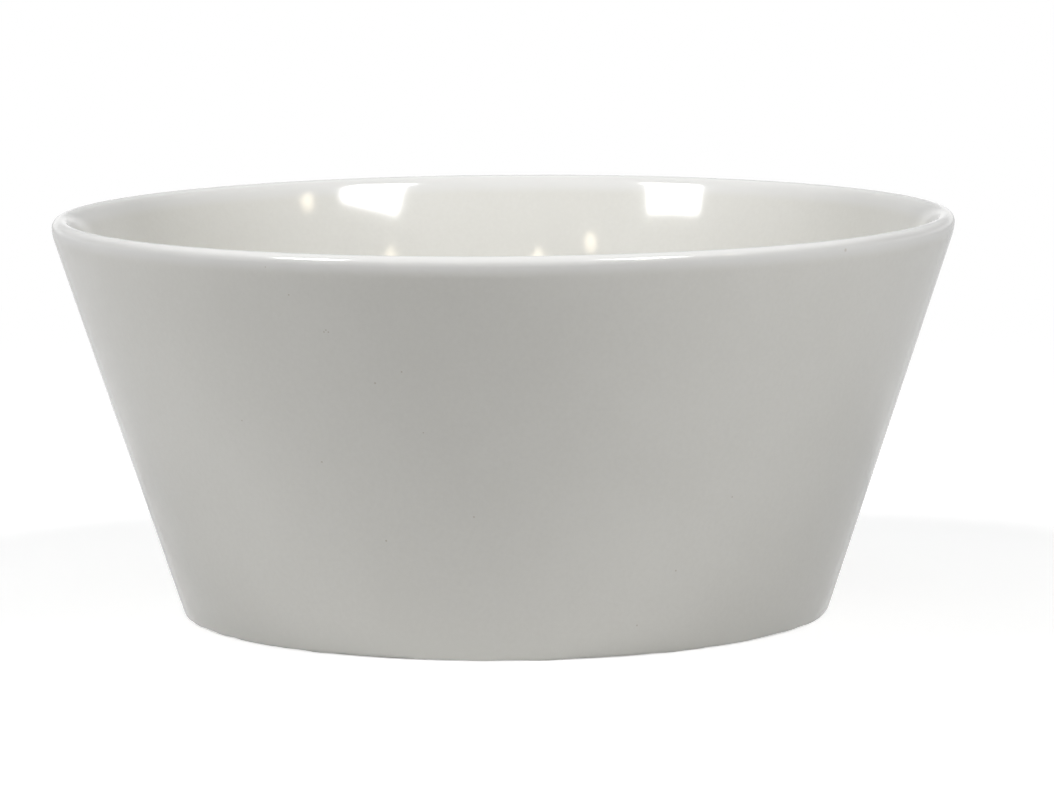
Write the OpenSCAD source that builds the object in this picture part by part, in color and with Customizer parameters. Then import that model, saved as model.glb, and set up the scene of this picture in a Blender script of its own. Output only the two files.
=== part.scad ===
// A conical latte bowl of glazed porcelain.
// Lengths are in millimetres and angles in degrees. The bowl stands on the plane z = 0, and its
// axis is the z axis. Sizes are those of the finished bowl, measured over the glaze, except on the
// bare ring that it stands on.

/* [Bowl] */
// Diameter over the rim
rim_d = 140; // [110:1:170]
// Height from the table to the top of the rim
height = 62; // [50:0.5:80]
// Thickness of the wall below the curves inside the rim
wall_t = 4.3; // [3.2:0.1:7]

/* [Rim] */
// Thickness of the rounded rim
rim_t = 2.7; // [2.2:0.1:3.2]
// How far the rim is set back from the outside of the wall
rim_set_back = 0.2; // [0.1:0.05:0.5]
// Radius of the soft curve outside the rim
rim_outer_curve_r = 7; // [4:0.5:12]
// Radius of the soft curve inside the rim
rim_inner_curve_r = 5; // [3:0.5:12]
// How far that soft curve turns
rim_inner_turn = 12; // [6:1:20]
// Radius of the long curve below it, where the wall thins towards the rim
long_curve_r = 100; // [60:1:200]

/* [Floor] */
// Thickness of the floor
floor_t = 5; // [3.5:0.1:8]
// Radius of the hollow curve from the inside of the wall to the floor
floor_curve_r = 14; // [6:0.5:20]

/* [Foot] */
// Outer diameter of the flat ring that the bowl stands on
foot_d = 98.5; // [80:0.5:110]
// Width of that flat ring
foot_w = 4.5; // [3:0.1:8]
// Radius of the round edge from the wall to the ring
foot_edge_r = 1.4; // [1.1:0.1:4]
// Depth of the hollow under the floor, inside the ring
hollow_h = 2; // [1.6:0.1:4]
// Radius of the round edge from the ring to the hollow
hollow_edge_r = 0.8; // [0.4:0.1:1.2]
// Lean of the hollow's side from the vertical
hollow_lean = 30; // [10:1:45]
// Radius of the curve from the hollow's side to its ceiling
hollow_curve_r = 1.2; // [0.6:0.1:1.4]

/* [Glaze] */
// Thickness of the glaze
glaze_t = 0.3; // [0.15:0.05:0.5]
// Height of the bare porcelain above the table
bare_h = 0.4; // [0.2:0.1:0.7]

/* [Hidden] */
$fn = 128;
porcelain_colour = [0.90, 0.88, 0.84];
glaze_colour = [0.95, 0.95, 0.93];

// The largest turn between two points of an arc, and the fewest steps that an arc has
arc_turn = 6;
arc_steps = 4;

// The directions that a flat face looks in, as angles from the outward radius
up = 90;
down = -90;
inwards = 180;

// Below, a point is [radius, height]. The outline is a chain of arcs that touch each other or the
// straight lines between them, and every angle is the direction that the surface looks in.

// The rounded rim and the round edge at the foot: radius and centre
rim_r = rim_t / 2;
rim_at = [rim_d / 2 - rim_r, height - rim_r];
foot_edge_at = [foot_d / 2, foot_edge_r - glaze_t];

// The outer wall is the straight line that touches the edge at the foot and passes the rim at the
// set back. lean is its lean from the vertical, and wall_reach is how far it lies from the origin.
foot_to_rim = rim_at - foot_edge_at;
foot_spread = foot_edge_r - rim_r - rim_set_back;
lean = atan2(foot_to_rim.x, foot_to_rim.y) - asin(foot_spread / norm(foot_to_rim));
wall_reach = foot_edge_at * [cos(lean), -sin(lean)] + foot_edge_r;

// The soft curve outside the rim: how far it turns, where the rounded rim starts, and its centre
rim_outer_turn = acos(1 - rim_set_back / (rim_outer_curve_r - rim_r));
rim_from = rim_outer_turn - lean;
rim_outer_curve_at = spot(rim_at, rim_r - rim_outer_curve_r, rim_from);

// The soft curve inside the rim and the long curve below it, which ends where the inner wall starts.
// How far the long curve turns follows from the thickness that it brings the wall to. curve_gains is
// how far its centre lies from the rim's, along and across the direction in which it starts, and
// wall_gain is how far it lies from the rim's across the wall.
soft_gain = rim_inner_curve_r - rim_r;
curve_gains = [long_curve_r - rim_inner_curve_r + soft_gain * cos(rim_inner_turn),
               soft_gain * sin(rim_inner_turn)];
wall_gain = long_curve_r + rim_r + rim_set_back - wall_t;
long_turn = acos(wall_gain / norm(curve_gains)) - atan2(curve_gains.y, curve_gains.x);
long_from = inwards - lean - long_turn;
rim_to = long_from - rim_inner_turn;
rim_inner_curve_at = spot(rim_at, rim_r - rim_inner_curve_r, rim_to);
long_curve_at = spot(rim_inner_curve_at, rim_inner_curve_r - long_curve_r, long_from);

// The floor's height, and the centre of the curve that leads to it
floor_z = hollow_h + floor_t;
floor_curve_z = floor_z + floor_curve_r;
floor_curve_reach = wall_reach - wall_t - floor_curve_r;
floor_curve_at = [(floor_curve_reach + floor_curve_z * sin(lean)) / cos(lean), floor_curve_z];

// Where the glaze ends on the round edge at the foot
glaze_from = asin(bare_h / foot_edge_at.y - 1);

// The hollow inside the ring: the direction that its side looks in, and the centres of its edge
// and of the curve to its ceiling
hollow_side = hollow_lean - inwards;
hollow_edge_at = [foot_d / 2 - foot_w, hollow_edge_r];
hollow_curve_z = hollow_h - hollow_curve_r;
hollow_rise = (hollow_edge_at.y - hollow_curve_z) * sin(hollow_side);
hollow_reach = hollow_edge_r + hollow_curve_r + glaze_t + hollow_rise;
hollow_curve_at = [hollow_edge_at.x + hollow_reach / cos(hollow_side), hollow_curve_z];

// The point of an arc that looks in the direction angle. A negative radius makes a hollow arc.
function spot(centre, radius, angle) = centre + radius * [cos(angle), sin(angle)];

// The points of an arc, without its first point where it goes on from another arc
function arc(centre, radius, from, to, goes_on = false) =
    let (steps = max(arc_steps, ceil(abs(to - from) / arc_turn)))
    [for (i = [goes_on ? 1 : 0 : steps]) spot(centre, radius, from + (to - from) * i / steps)];

function reversed(points) = [for (i = [len(points) - 1 : -1 : 0]) points[i]];

// The surface that the main coat covers, from the foot over the rim to the middle of the floor, at
// a depth under the finished surface
function coated_line(depth) = concat(
    arc(foot_edge_at, foot_edge_r - depth, glaze_from, -lean),
    arc(rim_outer_curve_at, rim_outer_curve_r - depth, -lean, rim_from),
    arc(rim_at, rim_r - depth, rim_from, rim_to, goes_on = true),
    arc(rim_inner_curve_at, rim_inner_curve_r - depth, rim_to, long_from, goes_on = true),
    arc(long_curve_at, long_curve_r - depth, long_from, inwards - lean, goes_on = true),
    arc(floor_curve_at, -floor_curve_r - depth, inwards - lean, up),
    [[0, floor_z - depth]]
);

// The surface of the hollow under the floor, from the ring to the middle, at a depth likewise
function hollow_line(depth) = concat(
    [spot(hollow_edge_at, hollow_edge_r + glaze_t - depth, hollow_side)],
    arc(hollow_curve_at, -hollow_curve_r - depth, hollow_side, down),
    [[0, hollow_h + depth]]
);

// The bare standing ring, from the hollow to where the main coat starts
function bare_line() = concat(
    arc(hollow_edge_at, hollow_edge_r, hollow_side, down, goes_on = true),
    reversed(arc(foot_edge_at, foot_edge_r - glaze_t, glaze_from, down, goes_on = true))
);

module porcelain_body() {
    color(porcelain_colour)
        rotate_extrude()
            polygon(concat(coated_line(glaze_t), reversed(hollow_line(glaze_t)), bare_line()));
}

module glaze_coat() {
    color(glaze_colour)
        rotate_extrude()
            polygon(concat(coated_line(0), reversed(coated_line(glaze_t))));
}

module underside_glaze() {
    color(glaze_colour)
        rotate_extrude()
            polygon(concat(hollow_line(0), reversed(hollow_line(glaze_t))));
}

porcelain_body();
glaze_coat();
underside_glaze();
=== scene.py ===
"""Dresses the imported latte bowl: glazed porcelain on a white studio floor."""

import math

import bpy
from mathutils import Matrix, Quaternion, Vector


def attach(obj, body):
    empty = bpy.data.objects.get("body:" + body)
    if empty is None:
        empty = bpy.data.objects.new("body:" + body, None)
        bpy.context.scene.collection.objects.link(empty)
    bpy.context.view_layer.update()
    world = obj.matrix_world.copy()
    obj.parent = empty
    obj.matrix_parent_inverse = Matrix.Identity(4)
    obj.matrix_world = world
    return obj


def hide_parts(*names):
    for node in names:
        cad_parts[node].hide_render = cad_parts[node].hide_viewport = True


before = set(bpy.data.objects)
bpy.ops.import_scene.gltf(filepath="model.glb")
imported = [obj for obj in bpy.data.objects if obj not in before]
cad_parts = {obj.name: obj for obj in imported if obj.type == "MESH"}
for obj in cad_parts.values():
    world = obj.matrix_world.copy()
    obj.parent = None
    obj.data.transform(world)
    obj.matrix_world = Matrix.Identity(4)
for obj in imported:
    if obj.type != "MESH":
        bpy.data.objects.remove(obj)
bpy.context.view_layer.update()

# Sizes of the bowl in metres, as in the part's source
MM = 0.001
RIM_D = 140 * MM
HEIGHT = 62 * MM
WALL_T = 4.3 * MM
RIM_T = 2.7 * MM
RIM_SET_BACK = 0.2 * MM
RIM_OUTER_CURVE_R = 7 * MM
RIM_INNER_CURVE_R = 5 * MM
RIM_INNER_TURN = math.radians(12)
LONG_CURVE_R = 100 * MM
FLOOR_T = 5 * MM
FLOOR_CURVE_R = 14 * MM
FOOT_D = 98.5 * MM
FOOT_W = 4.5 * MM
FOOT_EDGE_R = 1.4 * MM
HOLLOW_H = 2 * MM
HOLLOW_EDGE_R = 0.8 * MM
HOLLOW_LEAN = math.radians(30)
HOLLOW_CURVE_R = 1.2 * MM
GLAZE_T = 0.3 * MM
BARE_H = 0.4 * MM

# The directions that a flat face looks in, as angles from the outward radius
UP = math.pi / 2
DOWN = -math.pi / 2
INWARDS = math.pi

# How far the glaze's edges waver, and the size of a wave
EDGE_WAVER = 0.5 * MM
EDGE_WAVE = 7 * MM

# How finely the outlines are drawn and turned
ARC_TURN = math.radians(3)
ARC_STEP = 1.2 * MM
STRAIGHT_STEP = 3 * MM
TOUCH = 0.001 * MM
TURN_STEPS = 256


def spot(centre, radius, angle):
    """The point of an arc that looks in the direction angle. A negative radius makes a hollow arc."""
    return Vector((centre[0] + radius * math.cos(angle), centre[1] + radius * math.sin(angle)))


# The rounded rim and the round edge at the foot, as (radius, height). The rim keeps a hair inside the
# facets of the solid's own rim.
FACET_HAIR = 0.025 * MM
RIM_R = RIM_T / 2
RIM_AT = Vector((RIM_D / 2 - RIM_R - FACET_HAIR, HEIGHT - RIM_R - FACET_HAIR))
FOOT_EDGE_AT = Vector((FOOT_D / 2, FOOT_EDGE_R - GLAZE_T))

# The outer wall touches the foot's edge and passes the rim at the set back: its lean from the
# vertical, and how far it lies from the origin
FOOT_TO_RIM = RIM_AT - FOOT_EDGE_AT
FOOT_SPREAD = FOOT_EDGE_R - RIM_R - RIM_SET_BACK
LEAN = math.atan2(FOOT_TO_RIM.x, FOOT_TO_RIM.y) - math.asin(FOOT_SPREAD / FOOT_TO_RIM.length)
WALL_REACH = FOOT_EDGE_AT.x * math.cos(LEAN) - FOOT_EDGE_AT.y * math.sin(LEAN) + FOOT_EDGE_R

# The soft curve outside the rim
RIM_FROM = math.acos(1 - RIM_SET_BACK / (RIM_OUTER_CURVE_R - RIM_R)) - LEAN
RIM_OUTER_CURVE_AT = spot(RIM_AT, RIM_R - RIM_OUTER_CURVE_R, RIM_FROM)

# The soft curve inside the rim, and the long curve below it, where the wall thins towards the rim
SOFT_GAIN = RIM_INNER_CURVE_R - RIM_R
LONG_GAIN = LONG_CURVE_R - RIM_INNER_CURVE_R
CURVE_GAINS = Vector((LONG_GAIN, 0)) + SOFT_GAIN * spot((0, 0), 1, RIM_INNER_TURN)
WALL_GAIN = LONG_CURVE_R + RIM_R + RIM_SET_BACK - WALL_T
LONG_TURN = math.acos(WALL_GAIN / CURVE_GAINS.length) - math.atan2(CURVE_GAINS.y, CURVE_GAINS.x)
LONG_FROM = INWARDS - LEAN - LONG_TURN
RIM_TO = LONG_FROM - RIM_INNER_TURN
RIM_INNER_CURVE_AT = spot(RIM_AT, RIM_R - RIM_INNER_CURVE_R, RIM_TO)
LONG_CURVE_AT = spot(RIM_INNER_CURVE_AT, -LONG_GAIN, LONG_FROM)

# The floor, and the curve that leads to it
FLOOR_Z = HOLLOW_H + FLOOR_T
FLOOR_CURVE_Z = FLOOR_Z + FLOOR_CURVE_R
FLOOR_CURVE_REACH = WALL_REACH - WALL_T - FLOOR_CURVE_R
FLOOR_CURVE_X = (FLOOR_CURVE_REACH + FLOOR_CURVE_Z * math.sin(LEAN)) / math.cos(LEAN)
FLOOR_CURVE_AT = Vector((FLOOR_CURVE_X, FLOOR_CURVE_Z))

# Where the glaze ends on the round edge at the foot
GLAZE_FROM = math.asin(BARE_H / FOOT_EDGE_AT.y - 1)

# The hollow inside the standing ring
HOLLOW_SIDE = HOLLOW_LEAN - INWARDS
HOLLOW_EDGE_AT = Vector((FOOT_D / 2 - FOOT_W, HOLLOW_EDGE_R))
HOLLOW_CURVE_Z = HOLLOW_H - HOLLOW_CURVE_R
HOLLOW_RISE = (HOLLOW_EDGE_AT.y - HOLLOW_CURVE_Z) * math.sin(HOLLOW_SIDE)
HOLLOW_REACH = HOLLOW_EDGE_R + HOLLOW_CURVE_R + GLAZE_T + HOLLOW_RISE
HOLLOW_CURVE_AT = Vector((HOLLOW_EDGE_AT.x + HOLLOW_REACH / math.cos(HOLLOW_SIDE), HOLLOW_CURVE_Z))


def coated_line(depth):
    """The surface that the main coat covers, from the foot over the rim to the middle of the floor, at a
    depth under the finished surface. A line is a list of arcs, each with its centre, its radius and the
    directions that its ends look in."""
    return [
        (FOOT_EDGE_AT, FOOT_EDGE_R - depth, GLAZE_FROM, -LEAN),
        (RIM_OUTER_CURVE_AT, RIM_OUTER_CURVE_R - depth, -LEAN, RIM_FROM),
        (RIM_AT, RIM_R - depth, RIM_FROM, RIM_TO),
        (RIM_INNER_CURVE_AT, RIM_INNER_CURVE_R - depth, RIM_TO, LONG_FROM),
        (LONG_CURVE_AT, LONG_CURVE_R - depth, LONG_FROM, INWARDS - LEAN),
        (FLOOR_CURVE_AT, -FLOOR_CURVE_R - depth, INWARDS - LEAN, UP),
        (Vector((0, FLOOR_Z - depth)), 0, UP, UP),
    ]


def hollow_line(depth):
    """The surface of the hollow under the floor, from the ring to the middle, at a depth likewise."""
    return [
        (HOLLOW_EDGE_AT, HOLLOW_EDGE_R + GLAZE_T - depth, HOLLOW_SIDE, HOLLOW_SIDE),
        (HOLLOW_CURVE_AT, -HOLLOW_CURVE_R - depth, HOLLOW_SIDE, DOWN),
        (Vector((0, HOLLOW_H + depth)), 0, DOWN, DOWN),
    ]


def backwards(line):
    """The same line from its end to its start."""
    return [(centre, radius, end, start) for centre, radius, start, end in reversed(line)]


def turned(name, line):
    """Draws a line from the axis round to the axis, with straight lines from arc to arc, and turns it
    into a closed piece."""
    bpy.ops.object.select_all(action="DESELECT")
    bpy.ops.mesh.primitive_plane_add(size=ARC_STEP)
    piece = bpy.context.object
    piece.name = name
    piece.data.name = name
    bpy.ops.object.mode_set(mode="EDIT")
    bpy.ops.mesh.select_all(action="SELECT")
    bpy.ops.mesh.merge(type="CENTER")
    here = line[0][0]
    bpy.ops.transform.translate(value=(here.x, 0, here.y))
    for centre, radius, start, end in line:
        gap = spot(centre, radius, start) - here
        if gap.length > TOUCH:
            steps = math.ceil(gap.length / STRAIGHT_STEP)
            bpy.ops.mesh.extrude_repeat(steps=steps, offset=(gap.x / steps, 0, gap.y / steps))
        turn = end - start
        if turn:
            steps = max(math.ceil(abs(turn) / ARC_TURN), math.ceil(abs(turn * radius) / ARC_STEP))
            bpy.ops.mesh.spin(steps=steps, angle=turn, center=(centre.x, 0, centre.y), axis=(0, 1, 0))
        here = spot(centre, radius, end)
    bpy.ops.object.mode_set(mode="OBJECT")
    lathe = piece.modifiers.new("lathe", "SCREW")
    lathe.steps = TURN_STEPS
    lathe.render_steps = TURN_STEPS
    lathe.use_merge_vertices = True
    lathe.merge_threshold = TOUCH
    bpy.ops.object.modifier_apply(modifier=lathe.name)
    bpy.ops.object.mode_set(mode="EDIT")
    bpy.ops.mesh.select_all(action="SELECT")
    bpy.ops.mesh.remove_doubles(threshold=TOUCH)
    bpy.ops.mesh.normals_make_consistent(inside=False)
    bpy.ops.object.mode_set(mode="OBJECT")
    bpy.ops.object.shade_smooth()
    return piece


def waver(piece, top):
    """Lets the edge of a coat waver up and down, below a height and outside the hollow's flat ceiling."""
    edge = piece.vertex_groups.new(name="edge")
    inner = HOLLOW_CURVE_AT.x
    near = [v.index for v in piece.data.vertices if v.co.z < top and v.co.xy.length > inner]
    edge.add(near, 1.0, "ADD")
    cloud = bpy.data.textures.new("edge waver", "CLOUDS")
    cloud.noise_scale = EDGE_WAVE
    push = piece.modifiers.new("waver", "DISPLACE")
    push.texture = cloud
    push.texture_coords = "LOCAL"
    push.direction = "Z"
    push.mid_level = 0.5
    push.strength = EDGE_WAVER
    push.vertex_group = edge.name
    bpy.ops.object.select_all(action="DESELECT")
    piece.select_set(True)
    bpy.context.view_layer.objects.active = piece
    bpy.ops.object.modifier_apply(modifier=push.name)
    piece.vertex_groups.clear()


class Wire:
    """A node's output socket. Sums and products of wires add Math nodes."""

    def __init__(self, tree, socket=None):
        self.tree = tree
        self.socket = socket

    def node(self, kind, settings=None, sockets=None, output=0):
        """Adds a node: its settings first, then the values or wires of its sockets."""
        made = self.tree.nodes.new("ShaderNode" + kind)
        for name, value in (settings or {}).items():
            setattr(made, name, value)
        for name, value in (sockets or {}).items():
            if isinstance(value, Wire):
                self.tree.links.new(value.socket, made.inputs[name])
            else:
                made.inputs[name].default_value = value
        return Wire(self.tree, made.outputs[output] if made.outputs else None)

    def math(self, operation, first, second):
        return self.node("Math", {"operation": operation}, {0: first, 1: second})

    def __add__(self, other):
        return self.math("ADD", self, other)

    def __mul__(self, other):
        return self.math("MULTIPLY", self, other)

    __rmul__ = __mul__


def new_material(name):
    """A material with an empty node tree, and a wire to start from."""
    material = bpy.data.materials.new(name)
    material.use_nodes = True
    material.node_tree.nodes.clear()
    return material, Wire(material.node_tree)


def colour_mix(start, factor, first, second):
    """A colour between two others."""
    return start.node(
        "Mix", {"data_type": "RGBA"}, {0: factor, 6: first, 7: second}, output=2)


def fade(start, value, low, high, at_low=0.0, at_high=1.0):
    """Runs smoothly from at_low to at_high while value goes from low to high."""
    return start.node(
        "MapRange", {"interpolation_type": "SMOOTHSTEP"},
        {"Value": value, "From Min": low, "From Max": high, "To Min": at_low, "To Max": at_high})


# Nearly all of a noise lies between these two values
NOISE_LOW = 0.3
NOISE_HIGH = 0.7


def noise(start, place, scale, detail):
    """A cloudy pattern with about scale clouds to the metre, and detail finer layers in it."""
    return start.node("TexNoise", None, {"Vector": place, "Scale": scale, "Detail": detail})


def noise_fade(start, pattern, at_low=0.0, at_high=1.0):
    """Runs smoothly from at_low to at_high over the range of a noise."""
    return fade(start, pattern, NOISE_LOW, NOISE_HIGH, at_low, at_high)


# Fired glaze and porcelain mirror alike
IOR = 1.5


def surface(start, colour, roughness, bump):
    """Ends a material with its shader."""
    shader = start.node("BsdfPrincipled", None, {
        "Base Color": colour,
        "Roughness": roughness,
        "IOR": IOR,
        "Normal": bump,
    })
    start.node("OutputMaterial", None, {"Surface": shader})


# Dark specks in the glaze of the wall: turn to the right of the camera in degrees, height and radius in mm
SPECKS = (
    (-29.5, 59.9, 0.16), (-26.9, 55.9, 0.14), (-22.9, 50.5, 0.13), (-22.3, 50.5, 0.13),
    (-22.6, 50.8, 0.13), (-16.9, 43.0, 0.16), (-38.5, 36.0, 0.13), (-26.4, 30.5, 0.15),
    (-18.1, 18.7, 0.17), (-4.6, 22.7, 0.14), (45.8, 60.5, 0.36), (-13.2, 44.8, 0.14),
    (-11.0, 35.6, 0.11), (35.1, 23.9, 0.13), (27.3, 13.1, 0.15), (21.8, 4.9, 0.14),
    (78.0, 12.0, 0.14), (97.0, 30.0, 0.13), (112.0, 41.5, 0.16), (139.0, 9.0, 0.14),
    (148.0, 25.0, 0.15), (171.0, 52.0, 0.14), (-164.0, 33.0, 0.16), (-131.0, 15.5, 0.15),
    (-95.0, 47.0, 0.17), (-72.0, 21.0, 0.13),
)

# Where a speck starts to fade and where it ends, as shares of its radius
SPECK_CORE = 0.5
SPECK_END = 1.3


def on_wall(turn, height):
    """The point of the outer wall at a turn to the right of the camera and a height."""
    out = (WALL_REACH + height * math.sin(LEAN)) / math.cos(LEAN)
    return (out * math.sin(turn), -out * math.cos(turn), height)


def specks(start, place):
    """1 in each dark speck of the list and 0 round it."""
    mask = 0.0
    for turn, height, radius in SPECKS:
        middle = on_wall(math.radians(turn), height * MM)
        off = start.node("VectorMath", {"operation": "DISTANCE"}, {0: place, 1: middle}, output="Value")
        speck = fade(start, off, SPECK_CORE * radius * MM, SPECK_END * radius * MM, 1.0, 0.0)
        mask = start.math("MAXIMUM", mask, speck)
    return mask


# How far below the top of the rim the paler band ends (thin glaze, and painted light on the lip), and how
# high the pooled glaze at the foot reaches
THIN_AND_LIT_RIM = 3.2 * MM
POOLED_COAT = 6 * MM

# Colours of the glaze, and how strongly the last two show
GLAZE_DARKER = (0.765, 0.757, 0.72, 1)
GLAZE_LIGHTER = (0.795, 0.788, 0.752, 1)
# The rim's pale colour is partly thin glaze and partly painted light that stands in for light on the lip's
# top
GLAZE_THIN_AND_LIT = (0.825, 0.823, 0.81, 1)
GLAZE_POOLED = (0.765, 0.765, 0.728, 1)
GLAZE_SPECK = (0.38, 0.32, 0.22, 1)
POOLED_SHARE = 0.5
SPECK_SHARE = 0.45

# Patterns in the glaze, each with its scale and detail, and the share of the cloud in its tone
GLAZE_CLOUD = (45.0, 3.0)
GLAZE_GRAIN = (1400.0, 2.0)
GLAZE_RIPPLE = (160.0, 2.0)
GLAZE_CLOUD_SHARE = 0.6

# How rough the glaze is, and the orange peel on it
GLAZE_SMOOTHER = 0.08
GLAZE_ROUGHER = 0.1
PEEL_STRENGTH = 0.15
PEEL_DEEP = 0.05 * MM


def glaze_finish():
    """Smooth glossy white glaze: faintly cloudy, with dark specks, and paler on the rim, partly because
    the glaze is thin there and partly as painted light on the lip.
    """
    material, start = new_material("white glaze")
    place = start.node("TexCoord", output="Object")
    height = start.node("SeparateXYZ", None, {0: place}, output="Z")
    cloud = noise(start, place, *GLAZE_CLOUD)
    grain = noise(start, place, *GLAZE_GRAIN)
    tone = noise_fade(start, GLAZE_CLOUD_SHARE * cloud + (1 - GLAZE_CLOUD_SHARE) * grain)
    colour = colour_mix(start, tone, GLAZE_DARKER, GLAZE_LIGHTER)
    # Paler towards the top of the rim: partly thin glaze, partly painted light for the light that falls on
    # the lip
    thin_and_lit = fade(start, height, HEIGHT - THIN_AND_LIT_RIM, HEIGHT - RIM_R)
    colour = colour_mix(start, thin_and_lit, colour, GLAZE_THIN_AND_LIT)
    pooled = fade(start, height, BARE_H, POOLED_COAT, 1.0, 0.0)
    colour = colour_mix(start, POOLED_SHARE * pooled, colour, GLAZE_POOLED)
    colour = colour_mix(start, SPECK_SHARE * specks(start, place), colour, GLAZE_SPECK)
    ripple = noise(start, place, *GLAZE_RIPPLE)
    peel = start.node("Bump", None, {"Strength": PEEL_STRENGTH, "Distance": PEEL_DEEP, "Height": ripple})
    surface(start, colour, noise_fade(start, cloud, GLAZE_SMOOTHER, GLAZE_ROUGHER), peel)
    return material


# Colours of the bare porcelain, and how strongly the last two show
PORCELAIN_DARKER = (0.74, 0.705, 0.64, 1)
PORCELAIN_LIGHTER = (0.82, 0.79, 0.735, 1)
PORCELAIN_SCORCHED = (0.7, 0.6, 0.48, 1)
PORCELAIN_RUBBED = (0.5, 0.49, 0.47, 1)
SCORCHED_SHARE = 0.3
RUBBED_SHARE = 0.3

# Where the scorched line starts and where the rubbing fades and ends, as shares of the bare height
SCORCHED_FROM = 0.3
RUBBED_CORE = 0.02
RUBBED_END = 0.25

# Patterns in the porcelain, each with its scale and detail, the share of the cloud in its tone, and the
# values of the scuffs between which the rubbing sets in
PORCELAIN_CLOUD = (90.0, 4.0)
PORCELAIN_GRAIN = (2500.0, 3.0)
PORCELAIN_SCUFF = (700.0, 3.0)
PORCELAIN_CLOUD_SHARE = 0.7
SCUFF_LOW = 0.45
SCUFF_HIGH = 0.75

# How rough the porcelain is, and the grain on it
PORCELAIN_SMOOTHER = 0.7
PORCELAIN_ROUGHER = 0.85
GRAIN_STRENGTH = 0.4
GRAIN_DEEP = 0.06 * MM


def porcelain_finish():
    """Bare fired porcelain: matt, with a fine grain, a warm line along the glaze and rubbed grey below."""
    material, start = new_material("bare porcelain")
    place = start.node("TexCoord", output="Object")
    height = start.node("SeparateXYZ", None, {0: place}, output="Z")
    cloud = noise(start, place, *PORCELAIN_CLOUD)
    grain = noise(start, place, *PORCELAIN_GRAIN)
    tone = noise_fade(start, PORCELAIN_CLOUD_SHARE * cloud + (1 - PORCELAIN_CLOUD_SHARE) * grain)
    colour = colour_mix(start, tone, PORCELAIN_DARKER, PORCELAIN_LIGHTER)
    scorched = fade(start, height, SCORCHED_FROM * BARE_H, BARE_H)
    colour = colour_mix(start, SCORCHED_SHARE * scorched, colour, PORCELAIN_SCORCHED)
    scuff = noise(start, place, *PORCELAIN_SCUFF)
    low = fade(start, height, RUBBED_CORE * BARE_H, RUBBED_END * BARE_H, 1.0, 0.0)
    rubbed = low * fade(start, scuff, SCUFF_LOW, SCUFF_HIGH)
    colour = colour_mix(start, RUBBED_SHARE * rubbed, colour, PORCELAIN_RUBBED)
    rough = start.node("Bump", None, {"Strength": GRAIN_STRENGTH, "Distance": GRAIN_DEEP, "Height": grain})
    surface(start, colour, noise_fade(start, grain, PORCELAIN_SMOOTHER, PORCELAIN_ROUGHER), rough)
    return material


def wear(piece, material, node):
    """Gives a finished piece its material and puts it in its CAD node's place."""
    piece.data.materials.append(material)
    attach(piece, "root")
    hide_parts(node)


# The three pieces of the bowl. Where glaze ends, its edge is rounded.
half_coat = GLAZE_T / 2
coat_end = (spot(FOOT_EDGE_AT, FOOT_EDGE_R - half_coat, GLAZE_FROM), half_coat,
            GLAZE_FROM, GLAZE_FROM - math.pi)
coat = turned("bowl_glaze", backwards(coated_line(0)) + [coat_end] + coated_line(GLAZE_T))
waver(coat, FOOT_EDGE_AT.y)

patch_end = (spot(HOLLOW_EDGE_AT, HOLLOW_EDGE_R + half_coat, HOLLOW_SIDE), half_coat,
             HOLLOW_SIDE, HOLLOW_SIDE + math.pi)
patch = turned("bowl_underside_glaze", backwards(hollow_line(0)) + [patch_end] + hollow_line(GLAZE_T))
waver(patch, HOLLOW_EDGE_AT.y)

standing_ring = [
    (FOOT_EDGE_AT, FOOT_EDGE_R - GLAZE_T, GLAZE_FROM, DOWN),
    (HOLLOW_EDGE_AT, HOLLOW_EDGE_R, DOWN, HOLLOW_SIDE),
]
body = turned("bowl_porcelain", backwards(coated_line(GLAZE_T)) + standing_ring + hollow_line(GLAZE_T))

glaze = glaze_finish()
wear(coat, glaze, "glaze_coat")
wear(patch, glaze, "underside_glaze")
wear(body, porcelain_finish(), "porcelain_body")

# The camera, fitted to the photo, with its angles in radians
IMAGE_W = 1054
FOCAL_PIXELS = 5482.8
CAMERA_FAR = 849.1 * MM
CAMERA_HIGH = 140.01 * MM
CAMERA_YAW = 0.0041
CAMERA_PITCH = 0.1247
CAMERA_ROLL = -0.0076
SENSOR_W = 36.0
SEEN_FROM = 0.01
SEEN_TO = 50.0

camera = bpy.data.objects.new("camera", bpy.data.cameras.new("camera"))
bpy.context.scene.collection.objects.link(camera)
camera.data.sensor_fit = "HORIZONTAL"
camera.data.sensor_width = SENSOR_W
camera.data.lens = FOCAL_PIXELS / IMAGE_W * SENSOR_W
camera.data.clip_start = SEEN_FROM
camera.data.clip_end = SEEN_TO
camera.matrix_world = (
    Matrix.Translation((0, -CAMERA_FAR, CAMERA_HIGH))
    @ Matrix.Rotation(-CAMERA_YAW, 4, "Z")
    @ Matrix.Rotation(math.pi / 2 - CAMERA_PITCH, 4, "X")
    @ Matrix.Rotation(CAMERA_ROLL, 4, "Z")
)
bpy.context.scene.camera = camera

# Colours of the lamps, how far they are from the rim, and how far a card lies above the floor
NEUTRAL = (1.0, 1.0, 1.0)
WARM = (1.0, 0.88, 0.66)
COOL = (0.93, 0.97, 1.0)
SOFTBOX_FAR = 1.2
PANEL_FAR = 1.5
SMALL_LAMP_FAR = 2.0
CARD_LIFT = 1 * MM

# Azimuth and elevation of each small lamp
SMALL_LAMPS = ((67.7, 40.8), (37.8, 32.9), (-11.5, 34), (-29.3, 36.6))


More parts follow.
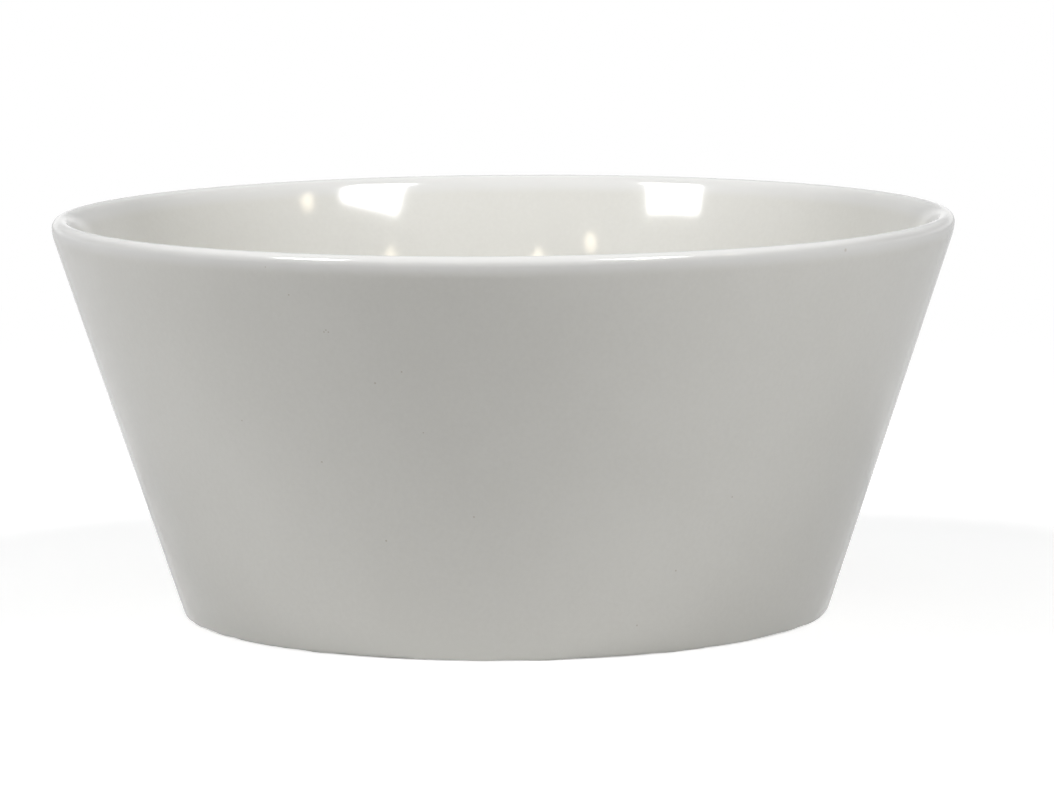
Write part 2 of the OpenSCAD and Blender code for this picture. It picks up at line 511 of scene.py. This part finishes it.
def panel(name, width, height, radiance, colour=NEUTRAL, shape="RECTANGLE", mirrored=True):
    """A flat lamp of an even brightness. It shows in the glaze only where mirrored is true."""
    light = bpy.data.lights.new(name, "AREA")
    light.shape = shape
    light.size = width
    light.size_y = height
    share = math.pi / 4 if shape == "ELLIPSE" else 1.0
    light.energy = radiance * math.pi * width * height * share
    light.color = colour
    holder = bpy.data.objects.new(name, light)
    bpy.context.scene.collection.objects.link(holder)
    holder.visible_camera = False
    holder.visible_glossy = mirrored
    return holder


def aim(holder, azimuth, elevation, far, aside=0.0, roll=0.0):
    """Sets a lamp to face the rim, or to look past it by the angle aside, and rolls it. Azimuth is to the
    right of the camera, seen from the bowl."""
    turn = math.radians(azimuth)
    rise = math.radians(elevation)
    way = Vector((math.sin(turn) * math.cos(rise), -math.cos(turn) * math.cos(rise), math.sin(rise)))
    holder.location = Vector((0, 0, HEIGHT)) + far * way
    holder.rotation_mode = "QUATERNION"
    facing = Matrix.Rotation(math.radians(aside), 3, "Z") @ -way
    rolled = Quaternion((0, 0, 1), math.radians(roll))
    holder.rotation_quaternion = facing.to_track_quat("-Z", "Y") @ rolled


def lay(holder, x, y):
    """Lays a lamp on the floor, where it shines upwards as a white card does."""
    holder.location = (x, y, CARD_LIFT)
    holder.rotation_euler = (math.pi, 0, 0)


# The softboxes and the small lamps show in the glaze. The other lamps and the cards only light the bowl.
right_softbox = panel("right softbox", width=0.315, height=0.315, radiance=23.4)
aim(right_softbox, azimuth=47.2, elevation=50.7, far=SOFTBOX_FAR, aside=-20, roll=15)
left_softbox = panel("left softbox", width=0.295, height=0.315, radiance=26.4)
aim(left_softbox, azimuth=-62.2, elevation=47.2, far=SOFTBOX_FAR, aside=22)
ceiling_light = panel("ceiling light", width=1.2, height=1.2, radiance=0.7, colour=COOL, mirrored=False)
aim(ceiling_light, azimuth=0, elevation=89, far=PANEL_FAR)
front_light = panel("front light", width=1.0, height=0.4, radiance=0.9, mirrored=False)
aim(front_light, azimuth=0, elevation=8, far=PANEL_FAR)
back_light = panel("back light", width=1.0, height=0.3, radiance=3.0, mirrored=False)
aim(back_light, azimuth=180, elevation=3, far=PANEL_FAR)
right_card = panel("right card", width=0.25, height=0.25, radiance=3.6, mirrored=False)
lay(right_card, x=0.3, y=-0.25)
left_card = panel("left card", width=0.2, height=0.5, radiance=2.85, mirrored=False)
lay(left_card, x=-0.38, y=0)
back_card = panel("back card", width=0.3, height=0.25, radiance=1.8, mirrored=False)
lay(back_card, x=0, y=0.3)
for number, (azimuth, elevation) in enumerate(SMALL_LAMPS):
    small_lamp = panel(
        f"small lamp {number}", width=0.105, height=0.15, radiance=10.5, colour=WARM, shape="ELLIPSE")
    aim(small_lamp, azimuth, elevation, far=SMALL_LAMP_FAR)


def seen_directly(start, mirrored=1.0):
    """1 for what the camera sees, also through glass, the share mirrored for what shows in a glossy face,
    and 0 for stray light."""
    camera_ray, glossy_ray, through_ray = (
        start.node("LightPath", output=f"Is {kind} Ray") for kind in ("Camera", "Glossy", "Transmission"))
    return start.math("MAXIMUM", start.math("MAXIMUM", camera_ray, mirrored * glossy_ray), through_ray)


WHITE = (1, 1, 1, 1)
FLOOR_SIDE = 12.0

# The floor as it is seen: its grey and its own glow where it shows the bowl's shadow, how far from the
# middle that turns into plain white, and how much of it the glaze mirrors
SHADED_GREY = (0.62, 0.62, 0.62, 1)
SHADED_GLOW = 0.6
SHADOW_NEAR = 0.15
SHADOW_FAR = 0.45
FLOOR_MIRRORED = 0.65

# The floor as it throws light back: a white mat under the bowl, a pale table and a dim room
WHITE_MAT = (0.65, 0.65, 0.65, 1)
PALE_TABLE = (0.4, 0.4, 0.4, 1)
DIM_ROOM = (0.05, 0.05, 0.05, 1)
MAT_NEAR = 0.08
MAT_FAR = 0.14
TABLE_NEAR = 0.8
TABLE_FAR = 1.2


def floor_finish():
    """The white floor, which shows the bowl's shadow and fades to plain white away from it."""
    material, start = new_material("white floor")
    place = start.node("TexCoord", output="Object")
    away = start.node("VectorMath", {"operation": "LENGTH"}, {0: place}, output="Value")
    table = colour_mix(start, fade(start, away, MAT_NEAR, MAT_FAR), WHITE_MAT, PALE_TABLE)
    stray = colour_mix(start, fade(start, away, TABLE_NEAR, TABLE_FAR), table, DIM_ROOM)
    unseen = start.node("BsdfDiffuse", None, {"Color": stray})
    grey = start.node("BsdfDiffuse", None, {"Color": SHADED_GREY})
    glow = start.node("Emission", None, {"Color": WHITE, "Strength": SHADED_GLOW})
    shaded = start.node("AddShader", None, {0: grey, 1: glow})
    plain = start.node("Emission", None, {"Color": WHITE, "Strength": 1.0})
    beyond = fade(start, away, SHADOW_NEAR, SHADOW_FAR)
    seen = start.node("MixShader", None, {0: beyond, 1: shaded, 2: plain})
    mixed = start.node("MixShader", None, {0: seen_directly(start, FLOOR_MIRRORED), 1: unseen, 2: seen})
    start.node("OutputMaterial", None, {"Surface": mixed})
    return material


bpy.ops.object.select_all(action="DESELECT")
bpy.ops.mesh.primitive_plane_add(size=FLOOR_SIDE)
floor = bpy.context.object
floor.name = "floor"
floor.data.materials.append(floor_finish())

# The room as the glaze mirrors it: how high the white by the table, the dark wall and the white ceiling
# reach, and how far back the pale backdrop starts, all as parts of a direction of length 1
TABLE_TO = math.sin(math.radians(4))
WALL_FROM = math.sin(math.radians(16))
WALL_TO = math.sin(math.radians(24))
CEILING_FROM = math.sin(math.radians(54))
BACKDROP_FROM = 0.5
BACKDROP_TO = 0.8
BACKDROP_SHINE = 0.6

# The light that the room throws on the bowl
FILL_LIGHT = 0.02


def white_room():
    """The world: white to the camera, with a backdrop, a wall and a ceiling for the glaze to mirror."""
    world = bpy.data.worlds.new("white room")
    world.use_nodes = True
    world.node_tree.nodes.clear()
    start = Wire(world.node_tree)
    fill = start.node("Background", None, {"Color": WHITE, "Strength": FILL_LIGHT})
    way = start.node("TexCoord", output="Generated")
    rise = start.node("SeparateXYZ", None, {0: way}, output="Z")
    back = start.node("SeparateXYZ", None, {0: way}, output="Y")
    room = fade(start, rise, TABLE_TO, WALL_FROM, 1.0, 0.0) + fade(start, rise, WALL_TO, CEILING_FROM)
    backdrop = fade(start, back, BACKDROP_FROM, BACKDROP_TO, 0.0, BACKDROP_SHINE)
    mirrored = start.math("MAXIMUM", room, backdrop)
    camera_ray = start.node("LightPath", output="Is Camera Ray")
    shown = start.math("MAXIMUM", camera_ray, mirrored)
    white = start.node("Background", None, {"Color": WHITE, "Strength": shown})
    mixed = start.node("MixShader", None, {0: seen_directly(start), 1: fill, 2: white})
    start.node("OutputWorld", None, {"Surface": mixed})
    return world


bpy.context.scene.world = white_room()
bpy.context.scene.view_settings.view_transform = "Standard"
